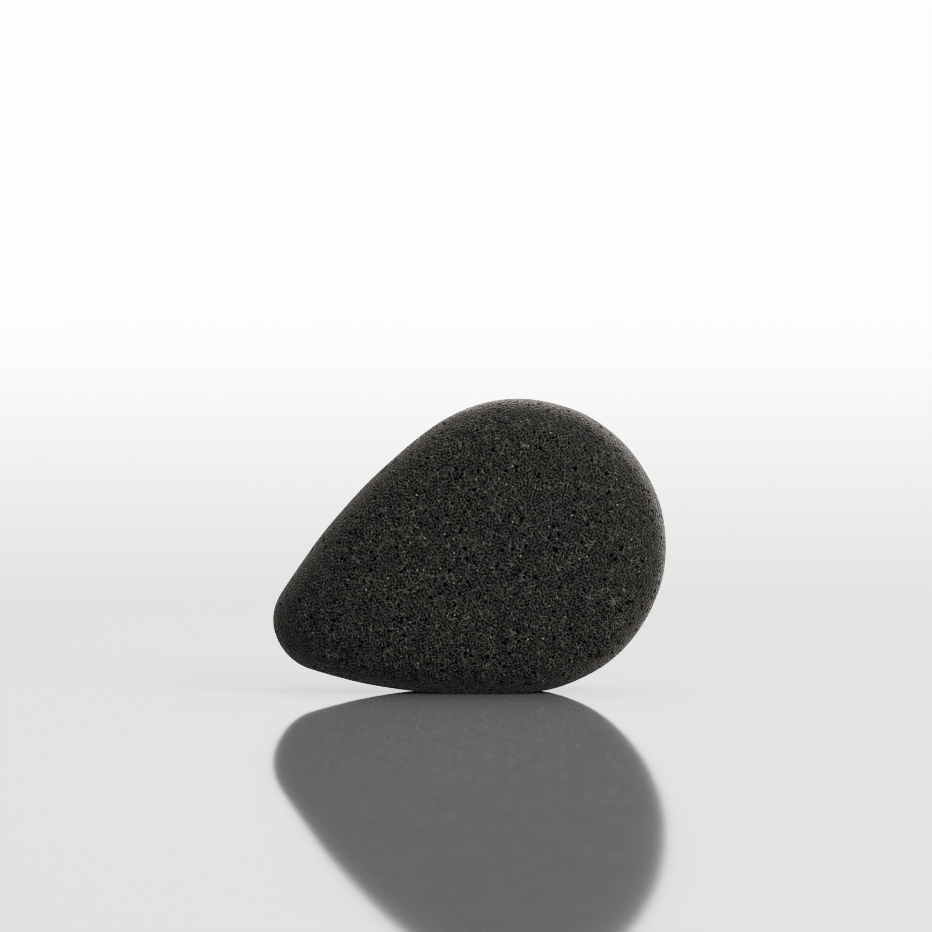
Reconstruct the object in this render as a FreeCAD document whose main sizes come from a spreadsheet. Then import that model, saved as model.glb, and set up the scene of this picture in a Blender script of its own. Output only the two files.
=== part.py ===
"""Drop-shaped konjac sponge, standing on its edge, as a parametric document in millimetres.

The sponge is one moulding of open-cell foam. Its zones are separate solids: the soft core, the
denser skin round the rim, and the skin of each broad face, which presses in when it is squeezed.

Frame: +Z up, X along the sponge, Y through its thickness with the front face towards -Y. The
origin is the middle of the bounding box, on the surface that the sponge stands on.
"""

import FreeCAD
import Part
import Sketcher

import math
import os

# Driving sizes, in millimetres, degrees and counts, kept in the sheet under these aliases.
SIZES = {
    "sponge_length": 83.0,
    "bulb_radius": 30.0,
    "tip_radius": 10.3,
    "flank_radius": 117.0,
    "sponge_thickness": 26.0,
    "crown_setback": 8.0,
    "crown_power": 3.0,
    "lean_angle": 21.0,
    "foot_depth": 0.5,
    "skin_thickness": 1.5,
    "zone_clearance": 0.2,
    "face_share": 0.74,
    "cut_overrun": 5.0,
}

# Angles along the crown, from the rim towards the middle of a face, at which a section is drawn.
CROWN_STEP_ANGLES = (10, 20, 30, 40, 50, 60, 68, 75, 80, 84)

SHEET = "Sizes"


def cell(alias):
    """Expression that reads one driving size."""
    return f"{SHEET}.{alias}"


def total(aliases):
    """Expression and value of the sum of some driving sizes, both zero for none."""
    text = " + ".join(cell(alias) for alias in aliases) or "0"
    return f"({text})", sum(SIZES[alias] for alias in aliases)


# Expressions shared by the sketches and placements.
CENTRE_SPAN = f"({cell('sponge_length')} - {cell('bulb_radius')} - {cell('tip_radius')})"
HALF_THICKNESS = f"({cell('sponge_thickness')} / 2)"
LEAN = f"({cell('lean_angle')} * 1 deg)"
BULB_REACH = f"({cell('flank_radius')} - {cell('bulb_radius')})"
TIP_REACH = f"({cell('flank_radius')} - {cell('tip_radius')})"
FLANK_X = f"(({TIP_REACH}^2 - {BULB_REACH}^2 - {CENTRE_SPAN}^2) / (2 * {CENTRE_SPAN}))"
FLANK_Z = f"sqrt({BULB_REACH}^2 - {FLANK_X}^2)"
BULB_SLOPE = f"asin({FLANK_X} / {BULB_REACH})"
TIP_SLOPE = f"asin(({FLANK_X} + {CENTRE_SPAN}) / {TIP_REACH})"

# How far the sponge reaches below its bulb's centre, on whichever arc it stands.
FLANK_DROP = f"({cell('flank_radius')} - {FLANK_X} * sin({LEAN}) - {FLANK_Z} * cos({LEAN}))"
TIP_DROP = f"({CENTRE_SPAN} * sin({LEAN}) + {cell('tip_radius')})"
STAND_DROP = (
    f"({LEAN} < {BULB_SLOPE} ? {cell('bulb_radius')} : ({LEAN} > {TIP_SLOPE} ? {TIP_DROP} : {FLANK_DROP}))"
)
BULB_X = f"(({CENTRE_SPAN} * cos({LEAN}) + {cell('tip_radius')} - {cell('bulb_radius')}) / 2)"
BULB_Z = f"({STAND_DROP} - {cell('foot_depth')})"


def make_sheet(doc):
    """Writes the driving sizes to a sheet, one aliased cell each."""
    sheet = doc.addObject("Spreadsheet::Sheet", SHEET)
    for row, (alias, value) in enumerate(SIZES.items(), start=1):
        sheet.set(f"A{row}", alias)
        sheet.set(f"B{row}", str(value))
        sheet.setAlias(f"B{row}", alias)
    return sheet


def outline_arcs(inset, scale, outset):
    """Five tangent arcs of the drop outline: set in, scaled about the crown's centre, then set out.

    The tip points along -X. The bulb takes two arcs, so that each is under half a circle.
    """
    bulb = SIZES["bulb_radius"]
    tip = SIZES["tip_radius"]
    flank = SIZES["flank_radius"]
    span = SIZES["sponge_length"] - bulb - tip
    flank_x = ((flank - tip) ** 2 - (flank - bulb) ** 2 - span**2) / (2 * span)
    flank_z = math.sqrt((flank - bulb) ** 2 - flank_x**2)
    bulb_turn = math.atan2(flank_z, -flank_x)
    tip_turn = math.atan2(flank_z, -flank_x - span)
    full_turn = 2 * math.pi
    bulb_x = SIZES["crown_setback"]

    def arc(centre_x, centre_z, radius, start, end):
        centre = FreeCAD.Vector((bulb_x + centre_x) * scale, centre_z * scale, 0)
        circle = Part.Circle(centre, FreeCAD.Vector(0, 0, 1), (radius - inset) * scale + outset)
        return Part.ArcOfCircle(circle, start, end)

    return [
        arc(0, 0, bulb, 0, bulb_turn),
        arc(flank_x, -flank_z, flank, bulb_turn, tip_turn),
        arc(-span, 0, tip, tip_turn, full_turn - tip_turn),
        arc(flank_x, flank_z, flank, full_turn - tip_turn, full_turn - bulb_turn),
        arc(0, 0, bulb, full_turn - bulb_turn, full_turn),
    ]


def crown_shares(angle):
    """Expressions and values of a section's height and scale at one angle along the crown."""
    power = f"(2 / {cell('crown_power')})"
    height = f"(sin({angle} deg) ^ {power})"
    scale = f"(cos({angle} deg) ^ {power})"
    value = math.cos(math.radians(angle)) ** (2 / SIZES["crown_power"])
    return height, scale, value


def origin_plane(body, role):
    """The body's own origin plane with that role."""
    return next(plane for plane in body.Origin.OriginFeatures if plane.Role == role)


def add_outline(body, name, scale, scale_value, inset=(), outset=(), height=None):
    """Sketches one drop outline on the body's XZ plane, moved by height towards the front.

    inset names the sizes by which the arcs shrink before they are scaled, and outset those by
    which they grow afterwards.
    """
    sketch = body.newObject("Sketcher::SketchObject", name)
    sketch.AttachmentSupport = [(origin_plane(body, "XZ_Plane"), "")]
    sketch.MapMode = "FlatFace"
    if height is not None:
        sketch.setExpression("AttachmentOffset.Base.z", height)
    inset_text, inset_value = total(inset)
    outset_text, outset_value = total(outset)
    upper_bulb, upper_flank, tip, lower_flank, lower_bulb = range(5)
    start, end, centre = 1, 2, 3
    x_axis, origin = -1, -1
    sketch.addGeometry(outline_arcs(inset_value, scale_value, outset_value), False)
    chain = (upper_bulb, upper_flank, tip, lower_flank, lower_bulb)
    for before, after in zip(chain, chain[1:]):
        sketch.addConstraint(Sketcher.Constraint("Tangent", before, end, after, start))
    sketch.addConstraint(Sketcher.Constraint("Coincident", lower_bulb, end, upper_bulb, start))
    sketch.addConstraint(Sketcher.Constraint("Coincident", lower_bulb, centre, upper_bulb, centre))
    for arc, point in ((upper_bulb, centre), (upper_bulb, start), (tip, centre)):
        sketch.addConstraint(Sketcher.Constraint("PointOnObject", arc, point, x_axis))
    sketch.addConstraint(Sketcher.Constraint("Equal", upper_flank, lower_flank))
    geometry = sketch.Geometry
    bulb_x = geometry[upper_bulb].Center.x
    span = bulb_x - geometry[tip].Center.x

    def add_size(size_name, expression, *arguments):
        index = sketch.addConstraint(Sketcher.Constraint(*arguments))
        sketch.renameConstraint(index, size_name)
        sketch.setExpression(f"Constraints.{size_name}", expression)

    setback = f"{cell('crown_setback')} * {scale}"
    add_size("crown_setback", setback, "DistanceX", origin, start, upper_bulb, centre, bulb_x)
    add_size("centre_span", f"{CENTRE_SPAN} * {scale}", "DistanceX", tip, centre, upper_bulb, centre, span)
    for arc, alias in ((upper_bulb, "bulb_radius"), (upper_flank, "flank_radius"), (tip, "tip_radius")):
        radius = f"({cell(alias)} - {inset_text}) * {scale} + {outset_text}"
        add_size(alias, radius, "Radius", arc, geometry[arc].Radius)
    return sketch


def place_body(body):
    """Leans the body and stands it so that the foot lies on z = 0 and the box is centred on x = 0."""
    lean = SIZES["lean_angle"]
    body.Placement = FreeCAD.Placement(
        FreeCAD.Vector(0, 0, 0), FreeCAD.Rotation(FreeCAD.Vector(0, 1, 0), -lean)
    )
    setback = cell("crown_setback")
    body.setExpression(".Placement.Rotation.Angle", f"-{LEAN}")
    body.setExpression(".Placement.Base.x", f"{BULB_X} - {setback} * cos({LEAN})")
    body.setExpression(".Placement.Base.z", f"{BULB_Z} - {setback} * sin({LEAN})")


def make_crowned_form(doc, name, inset):
    """Lofts a crowned drop through sections from the back face to the front face.

    inset names the sizes by which the form lies inside the sponge's surface.
    """
    body = doc.addObject("PartDesign::Body", name)
    half = f"({HALF_THICKNESS} - {total(inset)[0]})"
    sections = []
    for side, angles in ((-1, CROWN_STEP_ANGLES[::-1]), (1, (0,) + CROWN_STEP_ANGLES)):
        for angle in angles:
            height, scale, scale_value = crown_shares(angle)
            section_name = f"{name}_section_{len(sections)}"
            offset = f"{side} * {half} * {height}"
            section = add_outline(body, section_name, scale, scale_value, inset=inset, height=offset)
            sections.append(section)
    loft = body.newObject("PartDesign::AdditiveLoft", f"{name}_loft")
    loft.Profile = sections[0]
    loft.Sections = sections[1:]
    loft.Ruled = False
    place_body(body)
    return body


def make_face_column(doc, name, side, outset=()):
    """Pads the outline of a broad face out through the front, the back or both sides of the sponge."""
    body = doc.addObject("PartDesign::Body", name)
    share = "face_share"
    sketch = add_outline(body, f"{name}_outline", cell(share), SIZES[share], outset=outset)
    pad = body.newObject("PartDesign::Pad", f"{name}_pad")
    pad.Profile = sketch
    pad.Midplane = side == "both"
    pad.Reversed = side == "back"
    reach = f"({HALF_THICKNESS} + {cell('cut_overrun')})"
    pad.setExpression("Length", f"2 * {reach}" if side == "both" else reach)
    place_body(body)
    return body


def make_ground_block(doc):
    """A block below z = 0, which cuts the flat on which the sponge stands."""
    block = doc.addObject("Part::Box", "ground_block")
    width = f"({cell('sponge_length')} + {cell('cut_overrun')})"
    depth = f"({cell('sponge_thickness')} + {cell('cut_overrun')})"
    block.setExpression("Length", width)
    block.setExpression("Width", depth)
    block.setExpression("Height", f"{cell('foot_depth')} + {cell('cut_overrun')}")
    block.setExpression(".Placement.Base.x", f"-{width} / 2")
    block.setExpression(".Placement.Base.y", f"-{depth} / 2")
    block.setExpression(".Placement.Base.z", f"-({cell('foot_depth')} + {cell('cut_overrun')})")
    return block


def make_boolean(doc, kind, name, base, tool):
    """A Part boolean of two objects, such as Part::Cut or Part::Common."""
    result = doc.addObject(kind, name)
    result.Base = base
    result.Tool = tool
    return result


def build():
    """Builds the document and returns the sub-parts by name."""
    doc = FreeCAD.newDocument("konjac_sponge")
    make_sheet(doc)
    doc.recompute()

    outer = make_crowned_form(doc, "outer_form", ())
    cavity = make_crowned_form(doc, "cavity_form", ("skin_thickness",))
    core = make_crowned_form(doc, "open_cell_core", ("skin_thickness", "zone_clearance"))
    shell = make_boolean(doc, "Part::Cut", "shell", outer, cavity)
    standing_shell = make_boolean(doc, "Part::Cut", "standing_shell", shell, make_ground_block(doc))

    opening = make_face_column(doc, "face_opening", "both", ("zone_clearance",))
    front = make_face_column(doc, "front_column", "front")
    back = make_face_column(doc, "back_column", "back")
    pieces = {
        "open_cell_core": core,
        "rim_skin": make_boolean(doc, "Part::Cut", "rim_skin", standing_shell, opening),
        "front_face_skin": make_boolean(doc, "Part::Common", "front_face_skin", shell, front),
        "back_face_skin": make_boolean(doc, "Part::Common", "back_face_skin", shell, back),
    }
    doc.recompute()
    for name, piece in pieces.items():
        piece.Label = name
    check(doc, pieces)
    return pieces


def check(doc, pieces):
    """Stops if any object failed, or if a sub-part is not one valid closed solid."""
    for item in doc.Objects:
        if "Invalid" in item.State or "Error" in item.State:
            raise RuntimeError(f"{item.Name} failed: {item.State}")
    for name, piece in pieces.items():
        shape = piece.Shape
        if shape.isNull() or not shape.isValid() or len(shape.Solids) != 1:
            raise RuntimeError(f"{name} is not one valid solid")


def main():
    """Builds every sub-part and writes it under its own name."""
    os.makedirs("parts", exist_ok=True)
    for name, piece in build().items():
        print(f"{name}: {piece.Shape.Volume:.0f} mm3")
        piece.Shape.exportStep(os.path.join("parts", f"{name}.step"))


main()
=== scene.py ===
"""Dresses the drop-shaped konjac sponge: its open-cell relief, its charcoal foam and a pale studio."""

import logging
import math
from dataclasses import dataclass, field
from enum import Enum
from typing import Any

import bmesh
import bpy
import numpy as np
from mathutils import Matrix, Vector
from mathutils.kdtree import KDTree


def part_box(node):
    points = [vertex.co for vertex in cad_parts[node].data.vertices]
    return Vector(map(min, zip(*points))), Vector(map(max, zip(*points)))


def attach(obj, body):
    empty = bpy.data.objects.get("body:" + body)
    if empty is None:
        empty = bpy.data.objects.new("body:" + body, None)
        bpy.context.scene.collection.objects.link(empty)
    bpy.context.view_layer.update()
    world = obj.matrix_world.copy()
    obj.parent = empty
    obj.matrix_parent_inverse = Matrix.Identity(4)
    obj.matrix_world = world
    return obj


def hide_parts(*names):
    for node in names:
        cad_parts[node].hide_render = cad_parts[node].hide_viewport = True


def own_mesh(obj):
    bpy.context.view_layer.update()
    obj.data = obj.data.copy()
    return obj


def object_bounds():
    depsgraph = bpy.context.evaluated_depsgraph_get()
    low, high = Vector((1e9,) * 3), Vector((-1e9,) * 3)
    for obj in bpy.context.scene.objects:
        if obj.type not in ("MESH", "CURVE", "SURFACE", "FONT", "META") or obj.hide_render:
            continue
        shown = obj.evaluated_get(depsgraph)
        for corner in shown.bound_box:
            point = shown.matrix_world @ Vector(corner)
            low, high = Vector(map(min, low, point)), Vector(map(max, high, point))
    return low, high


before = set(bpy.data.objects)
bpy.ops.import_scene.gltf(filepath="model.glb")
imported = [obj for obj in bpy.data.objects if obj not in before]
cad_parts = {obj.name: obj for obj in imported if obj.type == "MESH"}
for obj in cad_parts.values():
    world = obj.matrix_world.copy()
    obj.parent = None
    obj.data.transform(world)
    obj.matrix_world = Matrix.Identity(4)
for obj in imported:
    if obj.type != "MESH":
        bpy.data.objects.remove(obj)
CAD_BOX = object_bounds()

LOG = logging.getLogger("konjac_sponge")
MM = 0.001
BAKE_MAP = "OFBake"
IMAGE_PIXELS = 932


class FoamLayer(Enum):
    """Point attributes in which the relief tells the finish what lies where."""

    WALL = "wall_wave"
    THREAD = "thread_wave"
    BUBBLE = "bubble_reach"
    RIM = "rim_share"


class Axis(Enum):
    """Directions of the shared frame."""

    X = (1.0, 0.0, 0.0)
    Y = (0.0, 1.0, 0.0)
    Z = (0.0, 0.0, 1.0)


def linear(hex_colour: str) -> tuple[float, float, float, float]:
    """Turns an sRGB hex colour into linear RGBA.

    Args:
        hex_colour: six hex digits after a hash, such as "#3a3936".

    Returns:
        Red, green, blue and an alpha of 1, in linear light.
    """
    shares = (int(hex_colour[start : start + 2], 16) / 255 for start in (1, 3, 5))
    rgb = (s / 12.92 if s <= 0.04045 else ((s + 0.055) / 1.055) ** 2.4 for s in shares)
    return (*rgb, 1.0)


def per_metre(size_mm: float) -> float:
    """Texture scale at which one repeat of a pattern measures size_mm."""
    return 1 / (size_mm * MM)


def add_node(
    tree: bpy.types.NodeTree,
    kind: str,
    settings: dict[str, Any],
    links: dict[str | int, Any],
    output: str | int = 0,
) -> Any:
    """Adds one shader node with its settings and incoming links.

    Args:
        tree: node tree that receives the node.
        kind: Blender's name of the node type.
        settings: node properties by name, and input values by "in:" and the socket's name or index.
        links: output sockets by the name or index of the input that each one feeds.
        output: name or index of the output that is wanted.

    Returns:
        That output socket, or None on a node that ends the tree.
    """
    node = tree.nodes.new(kind)
    for name, value in settings.items():
        if name.startswith("in:"):
            socket = name[3:]
            node.inputs[int(socket) if socket.isdigit() else socket].default_value = value
        else:
            setattr(node, name, value)
    for socket, source in links.items():
        tree.links.new(source, node.inputs[socket])
    return node.outputs[output] if node.outputs else None


@dataclass(frozen=True)
class WaveField:
    """Random plane waves of a band of lengths, which add up to an even, wormy grain.

    Sizes are in millimetres.
    """

    shortest: float
    longest: float
    count: int
    seed: int

    def sample(self, points: np.ndarray) -> np.ndarray:
        """Sums the waves at each point.

        Args:
            points: N by 3 places in millimetres.

        Returns:
            One value a point, with a mean near 0 and a spread near 1.
        """
        draw = np.random.default_rng(self.seed)
        direction = draw.normal(size=(self.count, 3))
        direction /= np.linalg.norm(direction, axis=1, keepdims=True)
        span = np.log([self.shortest, self.longest])
        length = np.exp(draw.uniform(*span, size=(self.count, 1)))
        waves = (direction * (2 * math.pi / length)).astype(np.float32)
        phase = draw.uniform(0, 2 * math.pi, size=self.count).astype(np.float32)
        fine_points = points.astype(np.float32)
        value = np.zeros(len(points), dtype=np.float32)
        for wave, start in zip(waves, phase):
            value += np.cos(fine_points @ wave + start)
        return value * math.sqrt(2 / self.count)


def smooth_step(low: float, high: float, value: np.ndarray) -> np.ndarray:
    """Smooth rise from 0 at low to 1 at high, which may lie below low."""
    share = np.clip((value - low) / (high - low), 0, 1)
    return share * share * (3 - 2 * share)


@dataclass(frozen=True)
class DropForm:
    """The sponge's crowned drop, in millimetres, about the middle of its crown.

    Its outline is a bulb arc, two flank arcs and a tip arc, all tangent, and its section through
    the thickness is a superellipse.
    """

    length: float = 83.0
    bulb_radius: float = 30.0
    tip_radius: float = 10.3
    flank_radius: float = 117.0
    thickness: float = 26.0
    crown_setback: float = 8.0
    crown_power: float = 3.0
    lean: float = math.radians(21.0)
    face_edge_share: float = 0.82
    rim_edge_share: float = 0.55
    slope_step: float = 0.01

    def centre(self) -> np.ndarray:
        """Place of the crown's middle in the frame, from the rim's box, in millimetres."""
        _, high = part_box("rim_skin")
        bulb = np.array([high[0] / MM - self.bulb_radius, 0, high[2] / MM - self.bulb_radius])
        return bulb - self.crown_setback * np.array([math.cos(self.lean), 0, math.sin(self.lean)])

    def to_form(self, points: np.ndarray) -> np.ndarray:
        """Turns places in the frame into the drop's own axes, with the tip along -X."""
        offset = points - self.centre()
        cos, sin = math.cos(self.lean), math.sin(self.lean)
        along = offset[:, 0] * cos + offset[:, 2] * sin
        across = offset[:, 2] * cos - offset[:, 0] * sin
        return np.stack([along, offset[:, 1], across], axis=1)

    def to_frame(self, points: np.ndarray) -> np.ndarray:
        """Turns places in the drop's own axes into places in the frame."""
        cos, sin = math.cos(self.lean), math.sin(self.lean)
        along = points[:, 0] * cos - points[:, 2] * sin
        up = points[:, 0] * sin + points[:, 2] * cos
        return np.stack([along, points[:, 1], up], axis=1) + self.centre()

    def outline_radius(self, along: np.ndarray, across: np.ndarray) -> np.ndarray:
        """Distance from the crown's middle to the outline, in the direction of each point.

        Args:
            along: coordinate towards the bulb.
            across: coordinate across the drop.

        Returns:
            The distances in millimetres.
        """
        span = self.length - self.bulb_radius - self.tip_radius
        bulb_reach = self.flank_radius - self.bulb_radius
        tip_reach = self.flank_radius - self.tip_radius
        flank_x = (tip_reach**2 - bulb_reach**2 - span**2) / (2 * span)
        flank_z = -math.sqrt(bulb_reach**2 - flank_x**2)
        bulb = np.array([self.crown_setback, 0])
        flank = bulb + np.array([flank_x, flank_z])
        tip = bulb - np.array([span, 0])
        bulb_end = bulb + (bulb - flank) * self.bulb_radius / bulb_reach
        tip_end = tip + (tip - flank) * self.tip_radius / tip_reach
        angle = np.arctan2(np.abs(across), along)
        ray = np.stack([np.cos(angle), np.sin(angle)], axis=1)

        def reach(arc_centre: np.ndarray, radius: float) -> np.ndarray:
            """Where a ray from the crown's middle leaves one circle."""
            middle = ray @ arc_centre
            return middle + np.sqrt(np.maximum(middle**2 - arc_centre @ arc_centre + radius**2, 0))

        on_bulb = angle < math.atan2(bulb_end[1], bulb_end[0])
        on_tip = angle > math.atan2(tip_end[1], tip_end[0])
        flank_reach = reach(flank, self.flank_radius)
        tip_reach_out = reach(tip, self.tip_radius)
        return np.where(on_bulb, reach(bulb, self.bulb_radius), np.where(on_tip, tip_reach_out, flank_reach))

    def gauge(self, points: np.ndarray) -> np.ndarray:
        """Size of each point relative to the surface along its own ray: 1 on the surface."""
        flat = np.hypot(points[:, 0], points[:, 2]) / self.outline_radius(points[:, 0], points[:, 2])
        deep = np.abs(points[:, 1]) / (self.thickness / 2)
        return (flat**self.crown_power + deep**self.crown_power) ** (1 / self.crown_power)

    def onto_surface(self, points: np.ndarray) -> np.ndarray:
        """Moves each point along its ray onto the crowned surface."""
        return points / self.gauge(points)[:, None]

    def rim_share(self, points: np.ndarray) -> np.ndarray:
        """How far each point lies round the edge: 0 on the broad faces and 1 along the rim."""
        depth_share = np.abs(points[:, 1]) / (self.thickness / 2)
        return smooth_step(self.face_edge_share, self.rim_edge_share, depth_share)

    def normals(self, points: np.ndarray) -> np.ndarray:
        """Outward unit normals of the crowned surface near each point."""
        slopes = [self.gauge(points + self.slope_step * np.array(axis.value)) for axis in Axis]
        slopes = np.stack(slopes, axis=1) - self.gauge(points)[:, None]
        return slopes / np.linalg.norm(slopes, axis=1, keepdims=True)


@dataclass(frozen=True)
class BubbleField:
    """Round mouths of bubbles that burst at the surface, in millimetres."""

    count: int = 1050
    smallest: float = 0.25
    largest: float = 0.54
    margin: float = 0.4
    seed: int = 23

    def sample(self, places: np.ndarray) -> np.ndarray:
        """Rates how far inside a bubble's mouth each point lies.

        Args:
            places: N by 3 points, spread evenly over the surface.

        Returns:
            1 in the middle of a mouth, 0 on its rim and minus the margin well outside.
        """
        draw = np.random.default_rng(self.seed)
        radii = np.exp(draw.uniform(np.log(self.smallest), np.log(self.largest), size=self.count))
        middles = places[draw.choice(len(places), size=self.count, replace=False)]
        tree = KDTree(len(places))
        for index, place in enumerate(places.tolist()):
            tree.insert(place, index)
        tree.balance()
        value = np.full(len(places), -self.margin)
        for middle, radius in zip(middles.tolist(), radii):
            for _, index, distance in tree.find_range(middle, radius * (1 + self.margin)):
                value[index] = max(value[index], 1 - distance / radius)
        return value


@dataclass(frozen=True)
class FoamRelief:
    """Open cells of the foam, in millimetres: wormy cell walls, stray threads and burst bubbles.

    Walls stand where their wave is high, and threads run where theirs crosses zero.
    """

    walls: WaveField = WaveField(shortest=0.46, longest=0.7, count=140, seed=11)
    threads: WaveField = WaveField(shortest=1.2, longest=2.0, count=100, seed=31)
    bubbles: BubbleField = BubbleField()
    swell: WaveField = WaveField(shortest=9.0, longest=20.0, count=24, seed=37)
    wall_edge: float = 1.35
    thread_edge: float = 0.45
    bubble_lip: float = 0.4
    cell_depth: float = 0.2
    thread_height: float = 0.04
    bubble_depth: float = 0.5
    swell_height: float = 0.04
    lift: float = 0.16
    rim_calm: float = 0.5

    def apply(
        self, places: np.ndarray, normals: np.ndarray, rim: np.ndarray
    ) -> tuple[np.ndarray, dict[FoamLayer, np.ndarray]]:
        """Cuts the cells into a smooth surface, half below it and half above.

        Args:
            places: N by 3 points of the smooth surface, in millimetres.
            normals: their outward unit normals.
            rim: share by which each point belongs to the denser rim, where the cells are shallow.

        Returns:
            The moved points, and the value of each layer at each point.
        """
        wall = self.walls.sample(places)
        thread = self.threads.sample(places)
        bubble = self.bubbles.sample(places)
        height = self.lift + self.thread_height * smooth_step(self.thread_edge, 0.0, np.abs(thread))
        height -= self.cell_depth * smooth_step(self.wall_edge, -self.wall_edge, wall)
        height -= self.bubble_depth * smooth_step(0.0, self.bubble_lip, bubble)
        height *= 1 - self.rim_calm * rim
        height += self.swell_height * self.swell.sample(places)
        layers = dict(zip(FoamLayer, (wall, thread, bubble, rim), strict=True))
        return places + normals * height[:, None], layers


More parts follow.
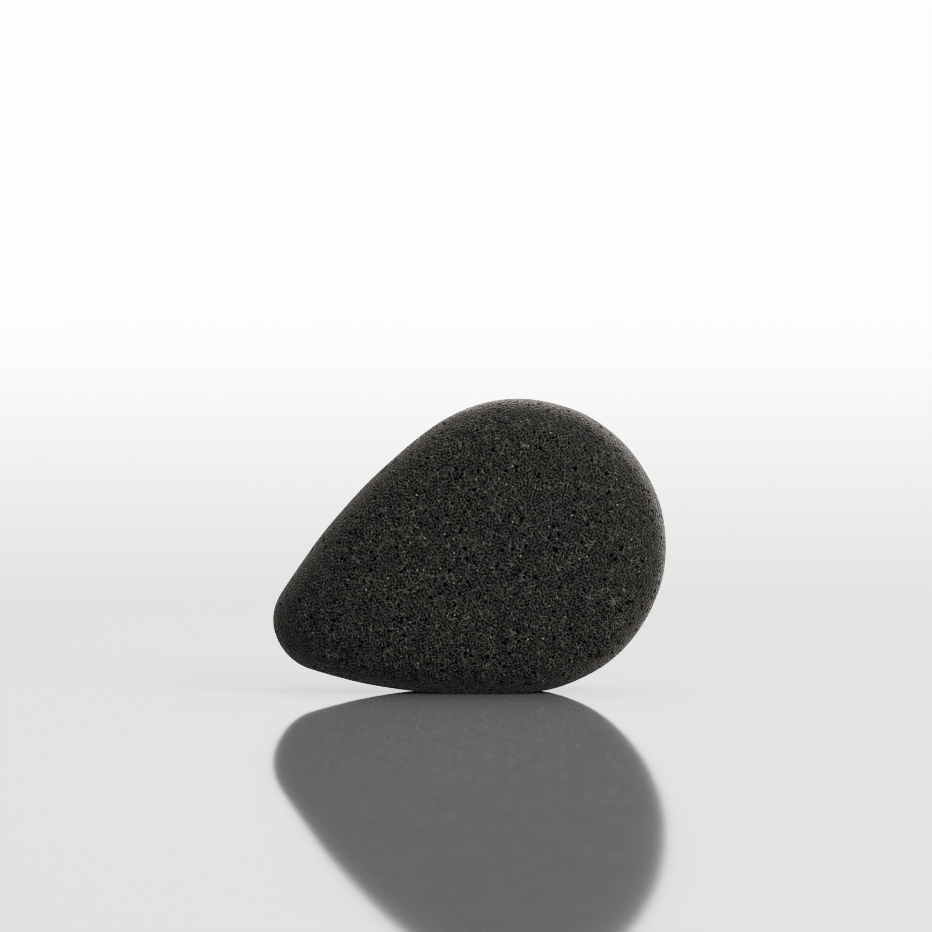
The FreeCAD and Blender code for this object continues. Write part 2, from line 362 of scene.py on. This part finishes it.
@dataclass(frozen=True)
class CharcoalFoam:
    """Konjac foam with charcoal: frozen, thawed and dried gel, matte, with fine dull strands.

    The strands catch the light. The cells between them are painted nearly black and the bubble
    mouths black, as painted shade in the recesses; along the rim the cells are painted lighter and
    warmer, as a painted sheen of grazing light; and a few mineral grains are painted near-white, as
    painted glints, with a glossy finish. Sizes are in millimetres, and a span or a pair of edges runs
    from low to high.
    """

    name: str = "charcoal_konjac_foam"
    # Painted shade: the cells between the walls are coloured nearly black for the shade in their recesses.
    cell_shade_colour: str = "#080808"
    wall_colour: str = "#3e3d39"
    # Painted shade and painted sheen: along the rim the cells get a lighter painted shade and a warmer
    # colour, for the grazing light on the rounded edge.
    rim_cell_shade_and_sheen_colour: str = "#141312"
    rim_wall_colour: str = "#3b3936"
    thread_colour: str = "#71706c"
    # Painted shade: the bubble mouths are coloured black for the shade inside the pits.
    bubble_shade_colour: str = "#040404"
    # Painted glints: the mineral grains are coloured near-white for the glints that they catch, besides
    # their glossy finish.
    grain_colour: str = "#b0aea8"
    sheen_colour: str = "#cdc5bd"
    thread_share: float = 0.75
    thread_patch: float = 1.8
    patch_detail: float = 1.0
    patch_edges: tuple[float, float] = (0.42, 0.58)
    roughness: float = 0.8
    grain_roughness: float = 0.3
    diffuse_roughness: float = 1.0
    ior: float = 1.45
    specular: float = 0.12
    sheen: float = 0.95
    sheen_base: float = 0.78
    sheen_roughness: float = 0.42
    noise_edges: tuple[float, float] = (0.3, 0.7)
    mottle_size: float = 9.0
    mottle_detail: float = 3.0
    mottle_span: tuple[float, float] = (0.82, 1.12)
    grit_size: float = 0.33
    grit_detail: float = 1.0
    grit_span: tuple[float, float] = (0.55, 1.45)
    fibre_size: float = 0.16
    fibre_detail: float = 2.0
    fibre_height: float = 0.02
    fibre_strength: float = 0.6
    crest_height: float = 0.03
    crest_strength: float = 0.7
    grain_spacing: float = 1.5
    grain_radius: float = 0.23
    grain_core_share: float = 0.6
    shine_edges: tuple[float, float] = (0.3, 1.0)

    def shares(self, tree: bpy.types.NodeTree, place: Any, relief: FoamRelief) -> dict[str, Any]:
        """Works out how strongly each feature of the foam shows.

        Args:
            tree: the material's node tree.
            place: output socket of the place on the piece.
            relief: the cells that the finish follows.

        Returns:
            Output sockets by feature, of which the finish uses rim, wall, thread, pore, grain and strand.
        """
        layers = {
            layer: add_node(tree, "ShaderNodeAttribute", {"attribute_name": layer.value}, {}, "Fac")
            for layer in FoamLayer
        }
        share = {"rim": layers[FoamLayer.RIM]}
        less = {"operation": "MULTIPLY_ADD", "in:1": -relief.rim_calm, "in:2": 1.0}
        share["calm"] = add_node(tree, "ShaderNodeMath", less, {0: share["rim"]})
        off_line = add_node(tree, "ShaderNodeMath", {"operation": "ABSOLUTE"}, {0: layers[FoamLayer.THREAD]})
        patchy = {"in:Scale": per_metre(self.thread_patch), "in:Detail": self.patch_detail}
        patches = add_node(tree, "ShaderNodeTexNoise", patchy, {"Vector": place}, "Fac")
        spaced = {"in:Scale": per_metre(self.grain_spacing)}
        grains = add_node(tree, "ShaderNodeTexVoronoi", spaced, {"Vector": place}, "Distance")
        lot = add_node(tree, "ShaderNodeSeparateColor", {}, {"Color": grains.node.outputs["Color"]}, "Red")
        edge = self.grain_radius / self.grain_spacing
        rises = (
            ("wall", "SMOOTHSTEP", layers[FoamLayer.WALL], (-relief.wall_edge, relief.wall_edge), 1.0),
            ("line", "SMOOTHSTEP", off_line, (relief.thread_edge, 0.0), self.thread_share),
            ("patch", "SMOOTHSTEP", patches, self.patch_edges, 1.0),
            # The mouth's share places the painted black shade of the bubble mouths.
            ("mouth", "SMOOTHSTEP", layers[FoamLayer.BUBBLE], (0.0, relief.bubble_lip), 1.0),
            # near and shine place the painted glints of the mineral grains.
            ("near", "LINEAR", grains, (edge, edge * self.grain_core_share), 1.0),
            ("shine", "SMOOTHSTEP", lot, self.shine_edges, 1.0),
        )
        for name, way, source, (low, high), top in rises:
            rise = {"interpolation_type": way, "in:From Min": low, "in:From Max": high, "in:To Max": top}
            share[name] = add_node(tree, "ShaderNodeMapRange", rise, {"Value": source})
        blends = (
            ("curl", "MULTIPLY", "line", "patch"),
            ("thread", "MULTIPLY", "curl", "calm"),
            ("pore", "MULTIPLY", "mouth", "calm"),
            ("glint", "MULTIPLY", "near", "shine"),
            ("grain", "MULTIPLY", "glint", "calm"),
            ("strand", "MAXIMUM", "wall", "thread"),
        )
        for name, operation, first, second in blends:
            links = {0: share[first], 1: share[second]}
            share[name] = add_node(tree, "ShaderNodeMath", {"operation": operation}, links)
        return share

    def colour(self, tree: bpy.types.NodeTree, place: Any, share: dict[str, Any]) -> Any:
        """Lays the foam's colours over each other.

        Args:
            tree: the material's node tree.
            place: output socket of the place on the piece.
            share: how strongly each feature shows.

        Returns:
            Output socket of the colour.
        """
        plain = {"data_type": "RGBA"}
        # The cell colours are painted shade in the recesses between the walls; along the rim they are
        # painted lighter and warmer, as a painted sheen of grazing light.
        pairs = ((self.cell_shade_colour, self.rim_cell_shade_and_sheen_colour), (self.wall_colour, self.rim_wall_colour))
        cells, walls = (
            add_node(tree, "ShaderNodeMix", {**plain, "in:6": face, "in:7": rim}, {0: share["rim"]}, 2)
            for face, rim in (map(linear, pair) for pair in pairs)
        )
        coat = add_node(tree, "ShaderNodeMix", plain, {0: share["wall"], 6: cells, 7: walls}, 2)
        # The threads get their own paler colour, and the pores the painted black shade of the bubble mouths.
        for name, tint in (("thread", self.thread_colour), ("pore", self.bubble_shade_colour)):
            tinted = {**plain, "in:7": linear(tint)}
            coat = add_node(tree, "ShaderNodeMix", tinted, {0: share[name], 6: coat}, 2)
        clouds = (
            (self.mottle_size, self.mottle_detail, self.mottle_span),
            (self.grit_size, self.grit_detail, self.grit_span),
        )
        for size, detail, span in clouds:
            noisy = {"in:Scale": per_metre(size), "in:Detail": detail}
            noise = add_node(tree, "ShaderNodeTexNoise", noisy, {"Vector": place}, "Fac")
            ends = zip(("From Min", "From Max", "To Min", "To Max"), (*self.noise_edges, *span), strict=True)
            limits = {f"in:{end}": value for end, value in ends}
            tone = add_node(tree, "ShaderNodeMapRange", limits, {"Value": noise})
            shaded = {**plain, "blend_type": "MULTIPLY", "in:0": 1.0}
            coat = add_node(tree, "ShaderNodeMix", shaded, {6: coat, 7: tone}, 2)
        # The mineral grains are painted near-white, as painted glints.
        speckled = {**plain, "in:7": linear(self.grain_colour)}
        return add_node(tree, "ShaderNodeMix", speckled, {0: share["grain"], 6: coat}, 2)

    def normal(self, tree: bpy.types.NodeTree, place: Any, strand: Any) -> Any:
        """Roughens the surface with fibres too fine for the mesh, and sharpens the strands.

        Args:
            tree: the material's node tree.
            place: output socket of the place on the piece.
            strand: output socket of the strands' share.

        Returns:
            Output socket of the normal.
        """
        fibrous = {"in:Scale": per_metre(self.fibre_size), "in:Detail": self.fibre_detail}
        fibre = add_node(tree, "ShaderNodeTexNoise", fibrous, {"Vector": place}, "Fac")
        fine = {"in:Strength": self.fibre_strength, "in:Distance": self.fibre_height * MM}
        fuzz = add_node(tree, "ShaderNodeBump", fine, {"Height": fibre})
        crest = {"in:Strength": self.crest_strength, "in:Distance": self.crest_height * MM}
        return add_node(tree, "ShaderNodeBump", crest, {"Height": strand, "Normal": fuzz})

    def fuzz(self, tree: bpy.types.NodeTree, share: dict[str, Any]) -> Any:
        """Spreads the pale fuzz over the strands and the rim, and keeps it out of the pores.

        Args:
            tree: the material's node tree.
            share: how strongly each feature shows.

        Returns:
            Output socket of the sheen's weight.
        """
        less = {"operation": "MULTIPLY", "in:1": self.sheen_base}
        rim = add_node(tree, "ShaderNodeMath", less, {0: share["rim"]})
        exposed = add_node(tree, "ShaderNodeMath", {"operation": "MAXIMUM"}, {0: share["strand"], 1: rim})
        clear = {"operation": "SUBTRACT", "use_clamp": True}
        fuzzy = add_node(tree, "ShaderNodeMath", clear, {0: exposed, 1: share["pore"]})
        return add_node(tree, "ShaderNodeMath", {"operation": "MULTIPLY", "in:1": self.sheen}, {0: fuzzy})

    def make(self, relief: FoamRelief) -> bpy.types.Material:
        """Builds the node material.

        Args:
            relief: the cells that the finish follows.

        Returns:
            The finish of all the foam.
        """
        material = bpy.data.materials.new(self.name)
        material.use_nodes = True
        tree = material.node_tree
        tree.nodes.clear()
        place = add_node(tree, "ShaderNodeTexCoord", {}, {}, "Object")
        share = self.shares(tree, place, relief)
        polish = {"in:To Min": self.roughness, "in:To Max": self.grain_roughness}
        shader = add_node(
            tree,
            "ShaderNodeBsdfPrincipled",
            {
                "in:IOR": self.ior,
                "in:Specular IOR Level": self.specular,
                "in:Diffuse Roughness": self.diffuse_roughness,
                "in:Sheen Roughness": self.sheen_roughness,
                "in:Sheen Tint": linear(self.sheen_colour),
            },
            {
                "Base Color": self.colour(tree, place, share),
                "Roughness": add_node(tree, "ShaderNodeMapRange", polish, {"Value": share["grain"]}),
                "Normal": self.normal(tree, place, share["strand"]),
                "Sheen Weight": self.fuzz(tree, share),
            },
        )
        add_node(tree, "ShaderNodeOutputMaterial", {}, {"Surface": shader})
        return material


@dataclass
class Sponge:
    """The whole sponge as one unbroken piece of foam, as it is moulded. Sizes are in millimetres."""

    form: DropForm = field(default_factory=DropForm)
    relief: FoamRelief = field(default_factory=FoamRelief)
    finish: CharcoalFoam = field(default_factory=CharcoalFoam)
    name: str = "konjac_foam"
    ball_steps: int = 6
    mesh_step: float = 0.12
    squeeze: float = 12.0
    rim_spread: float = 0.7
    map_width: float = 160.0
    map_middle_share: float = 0.5
    front_row_share: float = 0.25
    back_row_share: float = 0.75
    least_reach: float = 0.01

    def ball(self) -> bpy.types.Object:
        """Shapes a ball of even triangles to the smooth drop.

        Returns:
            A scratch object that holds the smooth form.
        """
        shell = bmesh.new()
        bmesh.ops.create_icosphere(shell, subdivisions=self.ball_steps, radius=1.0)
        mesh = bpy.data.meshes.new("smooth_drop")
        shell.to_mesh(mesh)
        shell.free()
        half = np.array([self.form.length, self.form.thickness, 2 * self.form.bulb_radius]) / 2
        points = self.form.onto_surface(self.read(mesh) * half)
        self.write(mesh, self.form.to_frame(points))
        body = bpy.data.objects.new("smooth_drop", mesh)
        bpy.context.scene.collection.objects.link(body)
        return body

    @staticmethod
    def read(mesh: bpy.types.Mesh) -> np.ndarray:
        """Reads a mesh's points as an N by 3 array."""
        flat = np.empty(len(mesh.vertices) * 3)
        mesh.vertices.foreach_get("co", flat)
        return flat.reshape(-1, 3)

    @staticmethod
    def write(mesh: bpy.types.Mesh, points: np.ndarray) -> None:
        """Writes an N by 3 array to a mesh's points."""
        mesh.vertices.foreach_set("co", points.astype(np.float32).ravel())
        mesh.update()

    def remeshed(self, body: bpy.types.Object) -> bpy.types.Mesh:
        """Covers the smooth form with small even quads.

        Args:
            body: the scratch object, in millimetres, which is removed.

        Returns:
            The new mesh, still in millimetres.
        """
        remesh = body.modifiers.new("even_quads", "REMESH")
        remesh.mode = "VOXEL"
        remesh.voxel_size = self.mesh_step
        solved = body.evaluated_get(bpy.context.evaluated_depsgraph_get())
        mesh = bpy.data.meshes.new_from_object(solved)
        bpy.data.objects.remove(body)
        return mesh

    def add_layers(self, mesh: bpy.types.Mesh, layers: dict[FoamLayer, np.ndarray]) -> None:
        """Stores each layer as a point attribute that the finish reads."""
        for layer, values in layers.items():
            attribute = mesh.attributes.new(layer.value, "FLOAT", "POINT")
            attribute.data.foreach_set("value", values.astype(np.float32))

    def unwrap(self, mesh: bpy.types.Mesh, smooth: np.ndarray) -> None:
        """Lays the front half and the back half out as two flat islands, for baked textures.

        Args:
            mesh: the mesh of the foam.
            smooth: its points on the smooth drop, in the drop's own axes.
        """
        corners = np.empty(len(mesh.loops), dtype=np.int32)
        mesh.loops.foreach_get("vertex_index", corners)
        counts = np.empty(len(mesh.polygons), dtype=np.int32)
        mesh.polygons.foreach_get("loop_total", counts)
        faces = np.repeat(np.arange(len(counts)), counts)
        points = smooth[corners]
        is_back = (np.bincount(faces, points[:, 1]) > 0)[faces]
        below_face = self.form.thickness / 2 - np.where(is_back, points[:, 1], -points[:, 1])
        reach = np.maximum(np.hypot(points[:, 0], points[:, 2]), self.least_reach)
        stretch = 1 + self.rim_spread * below_face / reach
        middle = self.form.crown_setback + self.form.bulb_radius - self.form.length / 2
        row = np.where(is_back, self.back_row_share, self.front_row_share)
        across = (points[:, 0] * stretch - middle) / self.map_width + self.map_middle_share
        up = points[:, 2] * stretch / self.map_width + row
        layer = mesh.uv_layers.new(name=BAKE_MAP)
        layer.uv.foreach_set("vector", np.stack([across, up], axis=1).astype(np.float32).ravel())

    def build(self) -> bpy.types.Object:
        """Builds the foam with its relief, standing on its edge.

        Returns:
            The finished piece, at the origin and in metres.
        """
        mesh = self.remeshed(self.ball())
        smooth = self.form.onto_surface(self.form.to_form(self.read(mesh)))
        normals = self.form.to_frame(self.form.normals(smooth)) - self.form.centre()
        rim = self.form.rim_share(smooth)
        places, layers = self.relief.apply(self.form.to_frame(smooth), normals, rim)
        places[:, 2] = np.maximum(places[:, 2], 0)
        self.write(mesh, places * MM)
        self.add_layers(mesh, layers)
        self.unwrap(mesh, smooth)
        mesh.name = self.name
        mesh.polygons.foreach_set("use_smooth", [True] * len(mesh.polygons))
        piece = bpy.data.objects.new(self.name, mesh)
        bpy.context.scene.collection.objects.link(piece)
        return piece

    def dress(self, piece: bpy.types.Object) -> None:
        """Finishes the piece, hangs it on its body and hides the CAD parts that it stands for.

        Args:
            piece: the built foam.
        """
        piece.data.materials.clear()
        piece.data.materials.append(self.finish.make(self.relief))
        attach(piece, "sponge_body")
        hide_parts("open_cell_core", "rim_skin", "front_face_skin", "back_face_skin")
        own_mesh(piece)


@dataclass(frozen=True)
class SoftBox:
    """A studio softbox, in metres and watts, aimed at the sponge."""

    name: str
    place: tuple[float, float, float]
    size: float
    power: float
    on_floor: bool = True

    def hang(self, target: Vector, sponge: bpy.types.Object) -> None:
        """Adds the lamp.

        Args:
            target: the point that it faces.
            sponge: the one piece that a lamp lights when it is flagged off the floor.
        """
        lamp = bpy.data.lights.new(self.name, "AREA")
        lamp.shape = "DISK"
        lamp.size = self.size
        lamp.energy = self.power
        holder = bpy.data.objects.new(self.name, lamp)
        holder.location = self.place
        holder.rotation_euler = (target - holder.location).to_track_quat("-Z", "Y").to_euler()
        holder.visible_camera = False
        if not self.on_floor:
            lit = bpy.data.collections.new(f"{self.name}_lit")
            lit.objects.link(sponge)
            holder.light_linking.receiver_collection = lit
        bpy.context.scene.collection.objects.link(holder)


@dataclass
class Studio:
    """Pale glossy table, white surround, soft lamps and the camera. Sizes are in metres."""

    table_size: float = 40.0
    table_colour: str = "#9e9e9e"
    mirror_colour: str = "#ffffff"
    table_gloss: float = 0.66
    table_roughness: float = 0.074
    table_brush: float = -0.726
    fade_start: float = 0.22
    fade_length: float = 0.8
    surround_colour: str = "#fdfdfd"
    fill_strength: float = 0.55
    lamps: tuple[SoftBox, ...] = (
        SoftBox("top_softbox", (0.15, 0.2, 0.9), 0.7, 2.5),
        SoftBox("right_softbox", (0.8, -0.42, 0.62), 0.6, 5.5),
        SoftBox("rim_softbox", (0.75, 0.85, 0.65), 0.4, 26.0, on_floor=False),
    )
    filter_pixels: float = 1.0
    lens_mm: float = 180.0
    sensor_mm: float = 36.0
    elevation: float = math.radians(4.0)
    pixel_mm: float = 0.2051
    middle_pixel: tuple[float, float] = (469.8, 545.4)

    def lay_table(self) -> None:
        """Adds the glossy table top, level with the sponge's foot."""
        sheet = bmesh.new()
        bmesh.ops.create_grid(sheet, x_segments=1, y_segments=1, size=self.table_size / 2)
        mesh = bpy.data.meshes.new("table_top")
        sheet.to_mesh(mesh)
        sheet.free()
        table = bpy.data.objects.new("table_top", mesh)
        bpy.context.scene.collection.objects.link(table)
        mesh.materials.append(self.table_finish())

    def table_finish(self) -> bpy.types.Material:
        """Makes the polished top, which mirrors more and more of the surround towards its far end.

        Its polish runs sideways, so that a mirror image seen at a low angle blurs evenly.

        Returns:
            The table's material; only its own look is mirrored, so that the sponge is lit from above.
        """
        material = bpy.data.materials.new("polished_acrylic")
        material.use_nodes = True
        tree = material.node_tree
        tree.nodes.clear()
        place = add_node(tree, "ShaderNodeTexCoord", {}, {}, "Object")
        far = add_node(tree, "ShaderNodeSeparateXYZ", {}, {"Vector": place}, "Y")
        steps = {
            "operation": "MULTIPLY_ADD",
            "in:1": -1 / self.fade_length,
            "in:2": self.fade_start / self.fade_length,
        }
        fade = add_node(tree, "ShaderNodeMath", steps, {0: far})
        near = add_node(tree, "ShaderNodeMath", {"operation": "EXPONENT", "use_clamp": True}, {0: fade})
        glossy = {"in:To Min": 1.0, "in:To Max": self.table_gloss}
        gloss = add_node(tree, "ShaderNodeMapRange", glossy, {"Value": near})
        seen = add_node(tree, "ShaderNodeLightPath", {}, {}, "Is Camera Ray")
        share = add_node(tree, "ShaderNodeMath", {"operation": "MULTIPLY"}, {0: gloss, 1: seen})
        matte = add_node(tree, "ShaderNodeBsdfDiffuse", {"in:Color": linear(self.table_colour)}, {})
        worn = {"operation": "MULTIPLY", "in:1": self.table_roughness}
        polish = add_node(tree, "ShaderNodeMath", worn, {0: near})
        sideways = add_node(tree, "ShaderNodeCombineXYZ", {"in:X": 1.0}, {})
        brushed = {"in:Color": linear(self.mirror_colour), "in:Anisotropy": self.table_brush}
        mirror = add_node(
            tree, "ShaderNodeBsdfAnisotropic", brushed, {"Roughness": polish, "Tangent": sideways}
        )
        mixed = add_node(tree, "ShaderNodeMixShader", {}, {0: share, 1: matte, 2: mirror})
        add_node(tree, "ShaderNodeOutputMaterial", {}, {"Surface": mixed})
        return material

    def surround(self) -> None:
        """Makes the surround white to the eye and in reflections, and a plain fill light otherwise."""
        world = bpy.data.worlds.new("white_surround")
        bpy.context.scene.world = world
        world.use_nodes = True
        tree = world.node_tree
        tree.nodes.clear()
        eye = add_node(tree, "ShaderNodeLightPath", {}, {}, "Is Camera Ray")
        links = {0: eye, 1: eye.node.outputs["Is Glossy Ray"]}
        seen = add_node(tree, "ShaderNodeMath", {"operation": "MAXIMUM"}, links)
        levels = {"in:To Min": self.fill_strength, "in:To Max": 1.0}
        strength = add_node(tree, "ShaderNodeMapRange", levels, {"Value": seen})
        white = {"in:Color": linear(self.surround_colour)}
        light = add_node(tree, "ShaderNodeBackground", white, {"Strength": strength})
        add_node(tree, "ShaderNodeOutputWorld", {}, {"Surface": light})

    def aim_camera(self, middle: Vector) -> None:
        """Sets the camera so that the sponge's middle falls on its pixel of the photograph.

        Args:
            middle: centre of the object's box.
        """
        view_width = IMAGE_PIXELS * self.pixel_mm * MM
        distance = view_width * self.lens_mm / self.sensor_mm
        back = Vector((0, -math.cos(self.elevation), math.sin(self.elevation)))
        up = Vector((0, math.sin(self.elevation), math.cos(self.elevation)))
        right_of_centre = (self.middle_pixel[0] - IMAGE_PIXELS / 2) * self.pixel_mm * MM
        below_centre = (self.middle_pixel[1] - IMAGE_PIXELS / 2) * self.pixel_mm * MM
        target = middle - Vector(Axis.X.value) * right_of_centre + up * below_centre
        lens = bpy.data.cameras.new("camera")
        lens.lens = self.lens_mm
        lens.sensor_width = self.sensor_mm
        camera = bpy.data.objects.new("camera", lens)
        camera.location = middle + back * distance
        camera.rotation_euler = (target - camera.location).to_track_quat("-Z", "Y").to_euler()
        bpy.context.scene.collection.objects.link(camera)
        bpy.context.scene.camera = camera

    def build(self, sponge: bpy.types.Object) -> None:
        """Sets up everything round the sponge.

        Args:
            sponge: the finished piece.
        """
        low, high = (Vector(corner) for corner in CAD_BOX)
        middle = (low + high) / 2
        bpy.context.scene.view_settings.view_transform = "Standard"
        bpy.context.scene.cycles.filter_width = self.filter_pixels
        self.lay_table()
        self.surround()
        for lamp in self.lamps:
            lamp.hang(middle, sponge)
        self.aim_camera(middle)


def main() -> None:
    """Builds the studio and the sponge, and reports each piece."""
    logging.basicConfig(level=logging.INFO, format="%(name)s: %(message)s")
    sponge = Sponge()
    piece = sponge.build()
    sponge.dress(piece)
    LOG.info("%s: %d faces", piece.name, len(piece.data.polygons))
    Studio().build(piece)


if __name__ == "__main__":
    main()
